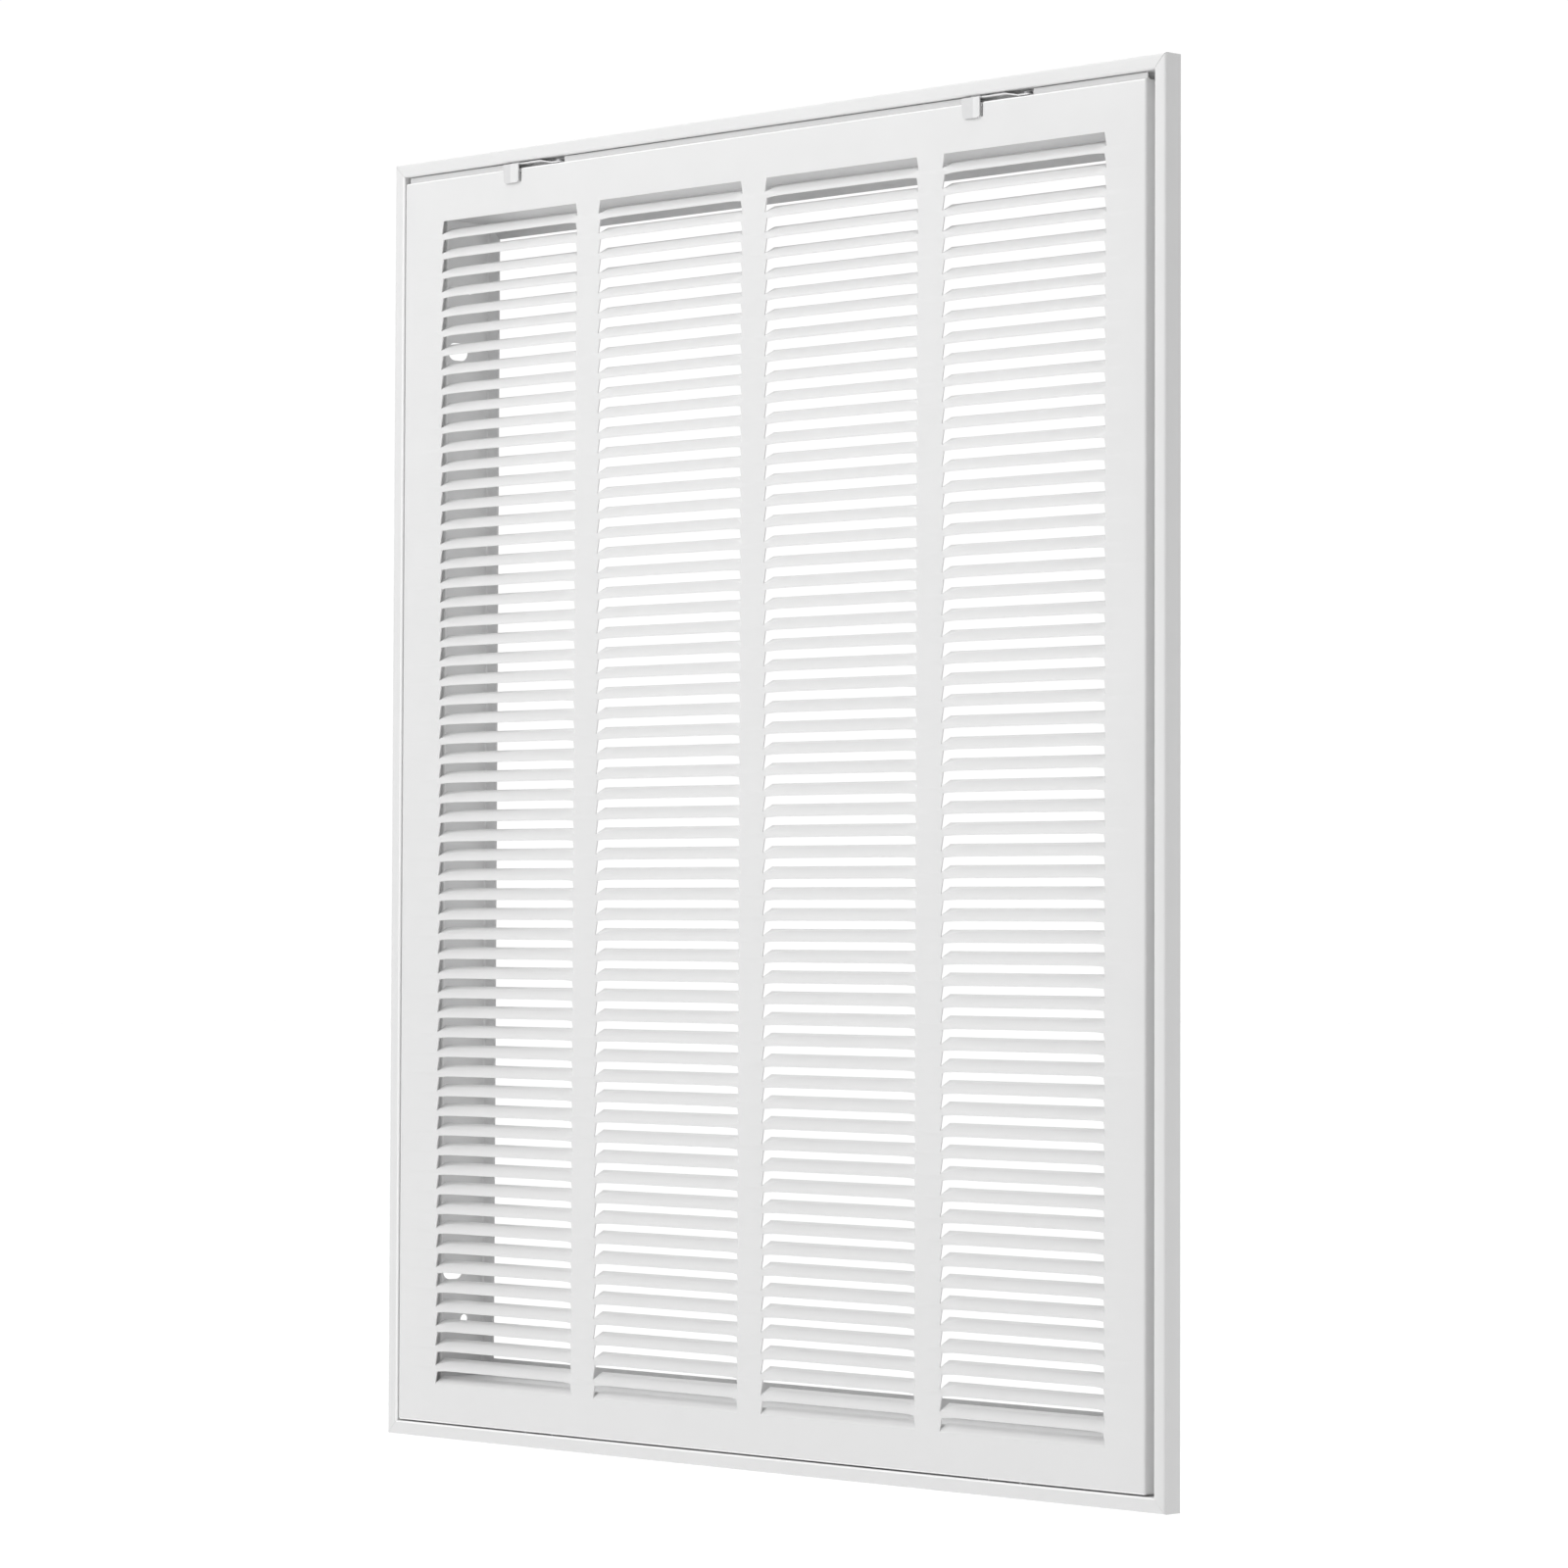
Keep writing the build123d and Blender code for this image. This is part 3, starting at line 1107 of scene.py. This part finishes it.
@dataclass
class SpringLatch:
    """A spring strip along the door's top flange, with its thumb tab and its catch.

    Args:
        name: Name of the piece.
        body: The body it moves with.
        node: The solid it stands for.
        left: Its left end.
        length: Its length.
        near: Front edge of the strip.
        width: Width of the strip.
        top: Height of the raised strip's upper side.
        drop: How far the foot lies lower.
        foot: Length of the foot.
        ramp: Length of the slope to the foot.
        sheet: Thickness of the strip.
        tab_front: Depth of the tab's face.
        tab_width: Width of the tab.
        tab_height: Height of the tab.
        tab_corner: Radius of its corners.
        corner_segments: Faces around a corner.
        tab_bend: Outside radius of the bend above the tab.
        bend_segments: Faces around the bend.
        crease: Distance of its crease from the left edge.
        lean: How far the tab's left edge leans back from the crease.
        rib: Start and end of the raised rib, from the left end.
        rib_height: Height of the rib.
        rib_slope: Length of the slope at each end of the rib.
        rib_edge: Start and end of the slope along the rib, from the front edge.
        catch: Front, base, crest, height and length of the catch.
        rivet_place: Distance of the rivet from the right end, and its depth.
        hole: Radius of the rivet's hole.
        hole_sides: Sides of the hole.
    """

    name: str
    body: Body
    node: str
    left: float
    length: float = 52.0
    near: float = -12.4
    width: float = 7.0
    top: float = 403.9
    drop: float = 2.0
    foot: float = 8.0
    ramp: float = 10.0
    sheet: float = 0.8
    tab_front: float = -14.1
    tab_width: float = 14.6
    tab_height: float = 12.4
    tab_corner: float = 2.2
    corner_segments: int = 5
    tab_bend: float = 0.9
    bend_segments: int = 4
    crease: float = 8.6
    lean: float = 0.7
    rib: tuple[float, float] = (19.0, 32.0)
    rib_height: float = 1.0
    rib_slope: float = 1.5
    rib_edge: tuple[float, float] = (2.6, 3.0)
    catch: tuple[float, float, float, float, float] = (-9.5, 3.0, 0.5, 2.3, 8.0)
    rivet_place: tuple[float, float] = (4.0, -8.0)
    hole: float = 1.8
    hole_sides: int = 32

    def strip(self) -> Workpiece:
        """Shapes the strip's upper side, from the tab's end to the foot.

        Returns:
            The strip without its thickness, in edit mode.
        """
        right = self.left + self.length
        rib_start, rib_end = (self.left + x for x in self.rib)
        across = [
            self.left, self.left + self.crease, self.left + self.tab_width,
            rib_start, rib_start + self.rib_slope, rib_end - self.rib_slope, rib_end,
            right - self.foot - self.ramp, right - self.foot, right,
        ]
        lanes = [self.near + y for y in (0, *self.rib_edge, self.width)]
        strip = Workpiece.panel(
            self.name, point(self.left, self.near, self.top),
            point(right, self.near + self.width, self.top), len(across) - 1, len(lanes) - 1,
        )
        strip.edit()
        strip.place_lines(Axis.ACROSS, across)
        strip.place_lines(Axis.DEPTH, lanes)
        start, end = (rib_start + self.rib_slope / 2) * MM, (rib_end - self.rib_slope / 2) * MM
        behind = (self.near + sum(self.rib_edge) / 2) * MM
        strip.pick(lambda co: start < co.x < end and co.y > behind)
        strip.move(point(0, 0, self.rib_height))
        foot_start = (right - self.foot - self.ramp / 2) * MM
        strip.pick(lambda co: co.x > foot_start)
        strip.move(point(0, 0, -self.drop))
        return strip

    def fold_tab(self, strip: Workpiece) -> None:
        """Folds the tab down in front of the door and rounds its bend and corners.

        Args:
            strip: The strip, in edit mode.
        """
        left, crease, right = ((self.left + x) * MM for x in (0, self.crease, self.tab_width))
        front, near, top = self.tab_front * MM, self.near * MM, self.top * MM
        bottom = top - self.tab_height * MM
        strip.pick_edges(lambda edge: len(edge.link_faces) == 1 and all(
            abs(v.co.y - near) < WELD and v.co.x < right + WELD for v in edge.verts))
        strip.fold(point(0, self.tab_front - self.near, 0))
        strip.fold(point(0, 0, -self.tab_height))
        strip.pick(lambda co: abs(co.z - bottom) < WELD
                   and (abs(co.x - left) < WELD or abs(co.x - right) < WELD))
        bpy.ops.mesh.bevel(offset=self.tab_corner * MM, segments=self.corner_segments, affect="VERTICES")
        strip.pick(lambda co: co.x < crease - WELD and co.y < front + WELD and co.z < top - WELD)
        strip.move(point(0, self.lean, 0))
        strip.pick_edges(lambda edge: len(edge.link_faces) == 2 and all(
            abs(v.co.z - top) < WELD and v.co.y < front + WELD for v in edge.verts))
        strip.round_edges(self.tab_bend * MM, self.bend_segments)

    def catch_block(self) -> Workpiece:
        """Shapes the catch that stands in the slot of the top rim.

        Returns:
            The catch.
        """
        front, base, crest, height, length = self.catch
        start = self.left + (self.tab_width - length) / 2
        block = Workpiece.block(
            "catch", point(start, front, self.top - self.sheet / 2),
            point(start + length, front + base, self.top + height),
        )
        block.edit()
        level = self.top * MM
        back = (front + base / 2) * MM
        block.pick(lambda co: co.z > level and co.y > back)
        block.move(point(0, crest - base, 0))
        block.done()
        return block

    def build(self) -> None:
        """Makes the latch and puts it in place of its solid."""
        strip = self.strip()
        self.fold_tab(strip)
        strip.done()
        strip.thicken(self.sheet * MM)
        inset, depth = self.rivet_place
        strip.subtract([Workpiece.rod(
            "rivet_cutter", point(self.left + self.length - inset, depth, self.top - self.drop),
            self.hole * MM, self.hole_sides)])
        strip.join([self.catch_block()])
        strip.finish(SPRING_COAT, self.body, self.node)
        self.darken_tab_side(strip)

    def darken_tab_side(self, strip: Workpiece) -> None:
        """Gives the tab's side left of the crease a darker, rougher coat."""
        edge, front = (self.left + self.crease) * MM, (self.near - self.sheet / 4) * MM
        strip.coat_faces(DARKER_TAB_COAT, lambda place, normal: place.x < edge and place.y < front)


# Fittings that keep their solids


@dataclass(frozen=True)
class Fittings:
    """The solids that are right as they are, and get their finish here.

    Args:
        zinc: Galvanised pieces.
        rivets: Rivets.
        painted: Painted small pieces.
    """

    zinc: tuple[str, ...]
    rivets: tuple[str, ...]
    painted: tuple[str, ...]

    def dress(self) -> None:
        """Gives each solid its material."""
        for names, finish in ((self.zinc, ZINC), (self.rivets, RIVET_METAL), (self.painted, SPRING_COAT)):
            for name in names:
                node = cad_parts[name]
                node.data.materials.clear()
                node.data.materials.append(finish.material())
                LOG.info("%s: dressed", name)


# Studio


@dataclass(frozen=True)
class Studio:
    """The floor, the lights and the camera.

    Args:
        floor_level: Height of the floor.
        floor_size: Its size in metres.
        floor_tone: Its brightness.
        floor_roughness: Its roughness.
        camera_place: Where the camera stands, in millimetres.
        right: Direction of the picture's right side.
        down: Direction of the picture's bottom.
        forward: Direction in which the camera looks.
        focal_pixels: Focal length in pixels of the picture.
        centre: The pixel that the lens looks straight at.
        picture: Width of the picture in pixels.
        sensor: Width of the camera's sensor.
        sight: How far the camera sees, in metres.
        light_behind: Strength of the surroundings on the left and behind.
        light_right: Their strength on the right.
        front_share: How much of it is left in front.
        light_above: What is added straight above.
        fade_right: Where the fall to the right starts and ends, as a part of a direction.
        fade_front: The same from the front to the back.
        fade_above: The same from the side to the top.
        lamp_place: Place of the soft square lamp, in metres.
        lamp_side: Its side in metres.
        lamp_power: Its power in watts.
        bounces: How often soft light is thrown back.
    """

    floor_level: float = -600.0
    floor_size: float = 40.0
    floor_tone: float = 0.98
    floor_roughness: float = 0.9
    camera_place: tuple[float, float, float] = (2421.5, -2346.4, -81.8)
    right: tuple[float, float, float] = (0.698843, 0.715267, 0.003412)
    down: tuple[float, float, float] = (-0.026405, 0.030565, -0.999184)
    forward: tuple[float, float, float] = (-0.714787, 0.698183, 0.040247)
    focal_pixels: float = 5631.35
    centre: tuple[float, float] = (804.3, 714.9)
    picture: int = 1600
    sensor: float = 36.0
    sight: float = 100.0
    light_behind: float = 1.03
    light_right: float = 0.05
    front_share: float = 0.395
    light_above: float = 0.9
    fade_right: tuple[float, float] = (-0.2, 0.9)
    fade_front: tuple[float, float] = (-0.3, 0.4)
    fade_above: tuple[float, float] = (0.3, 0.9)
    lamp_place: tuple[float, float, float] = (-0.3, -1.6, 1.6)
    lamp_side: float = 1.2
    lamp_power: float = 18.5
    bounces: int = 8

    def camera(self) -> None:
        """Adds the camera at the photograph's viewing angle."""
        data = bpy.data.cameras.new("camera")
        data.sensor_width = self.sensor
        data.lens = self.focal_pixels / self.picture * self.sensor
        data.shift_x = (self.picture / 2 - self.centre[0]) / self.picture
        data.shift_y = (self.centre[1] - self.picture / 2) / self.picture
        data.clip_end = self.sight
        camera = bpy.data.objects.new("camera", data)
        turn = Matrix((Vector(self.right), -Vector(self.down), -Vector(self.forward))).transposed()
        camera.matrix_world = Matrix.Translation(point(*self.camera_place)) @ turn.to_4x4()
        bpy.context.scene.collection.objects.link(camera)
        bpy.context.scene.camera = camera

    def floor(self) -> None:
        """Adds a plain pale floor."""
        half = self.floor_size / 2 / MM
        floor = Workpiece.panel(
            "floor", point(-half, -half, self.floor_level), point(half, half, self.floor_level),
        )
        material = bpy.data.materials.new("floor_pale")
        material.use_nodes = True
        shader = material.node_tree.nodes["Principled BSDF"]
        shader.inputs["Base Color"].default_value = (*[self.floor_tone] * 3, 1.0)
        shader.inputs["Roughness"].default_value = self.floor_roughness
        floor.object.data.materials.append(material)

    def lamp(self) -> None:
        """Adds the soft square lamp, which points at the middle of the part."""
        data = bpy.data.lights.new("lamp", "AREA")
        data.shape = "SQUARE"
        data.size = self.lamp_side
        data.energy = self.lamp_power
        lamp = bpy.data.objects.new("lamp", data)
        lamp.location = self.lamp_place
        lamp.rotation_euler = (-Vector(self.lamp_place)).to_track_quat("-Z", "Y").to_euler()
        bpy.context.scene.collection.objects.link(lamp)

    def surroundings(self) -> None:
        """Fills the surroundings with soft light: full behind, less in front and on the right."""
        world = bpy.data.worlds.new("studio")
        world.use_nodes = True
        nodes, links = world.node_tree.nodes, world.node_tree.links
        place = nodes.new("ShaderNodeTexCoord")
        parts = nodes.new("ShaderNodeSeparateXYZ")
        links.new(place.outputs["Generated"], parts.inputs["Vector"])

        def ramp(part: str, fade: tuple[float, float], low: float, high: float) -> bpy.types.NodeSocket:
            """Makes a value that changes along one direction.

            Args:
                part: The direction's letter.
                fade: Where the change starts and ends.
                low: The value before it.
                high: The value after it.

            Returns:
                The value.
            """
            change = nodes.new("ShaderNodeMapRange")
            for name, value in zip(("From Min", "From Max", "To Min", "To Max"), (*fade, low, high)):
                change.inputs[name].default_value = value
            links.new(parts.outputs[part], change.inputs["Value"])
            return change.outputs["Result"]

        sideways = ramp("X", self.fade_right, self.light_behind, self.light_right)
        inward = ramp("Y", self.fade_front, self.front_share, 1.0)
        level = nodes.new("ShaderNodeMath")
        level.operation = "MULTIPLY"
        total = nodes.new("ShaderNodeMath")
        links.new(sideways, level.inputs[0])
        links.new(inward, level.inputs[1])
        links.new(level.outputs[0], total.inputs[0])
        links.new(ramp("Z", self.fade_above, 0.0, self.light_above), total.inputs[1])
        links.new(total.outputs[0], nodes["Background"].inputs["Strength"])
        nodes["Background"].inputs["Color"].default_value = (1.0, 1.0, 1.0, 1.0)
        scene = bpy.context.scene
        scene.world = world
        scene.view_settings.view_transform = "Standard"
        scene.cycles.diffuse_bounces = self.bounces

    def build(self) -> None:
        """Sets up the studio."""
        self.camera()
        self.floor()
        self.surroundings()
        self.lamp()


def main() -> None:
    """Builds the part and the studio."""
    logging.basicConfig(level=logging.INFO, format="%(message)s")
    width, height = 338.0, 414.0
    # The top side's collar takes a deeper painted shade
    TopSide(
        "frame_side_top", "frame_top", 0.0, width, height, seams=(0.12, 0.3), inside=SHADED_COAT,
    ).build()
    BottomSide("frame_side_bottom", "frame_bottom", math.pi, width, height).build()
    UprightSide("frame_side_left", "frame_left", -math.pi / 2, height, width, along=1).build()
    UprightSide("frame_side_right", "frame_right", math.pi / 2, height, width, along=-1).build()
    LouvreDoor().build()
    SpringLatch("latch_strip_left", Body.LATCH_LEFT, "latch_left", -230.0, crease=7.0).build()
    SpringLatch("latch_strip_right", Body.LATCH_RIGHT, "latch_right", 178.0, crease=9.3).build()
    Fittings(
        zinc=tuple(f"{kind}_{z}_{x}" for kind in ("corner_key", "collar_bracket")
                   for z in ("top", "bottom") for x in ("left", "right")),
        rivets=("hinge_rivets", "latch_rivets"),
        painted=("hinge_clip_left", "hinge_clip_right"),
    ).dress()
    Studio().build()


if __name__ == "__main__":
    main()
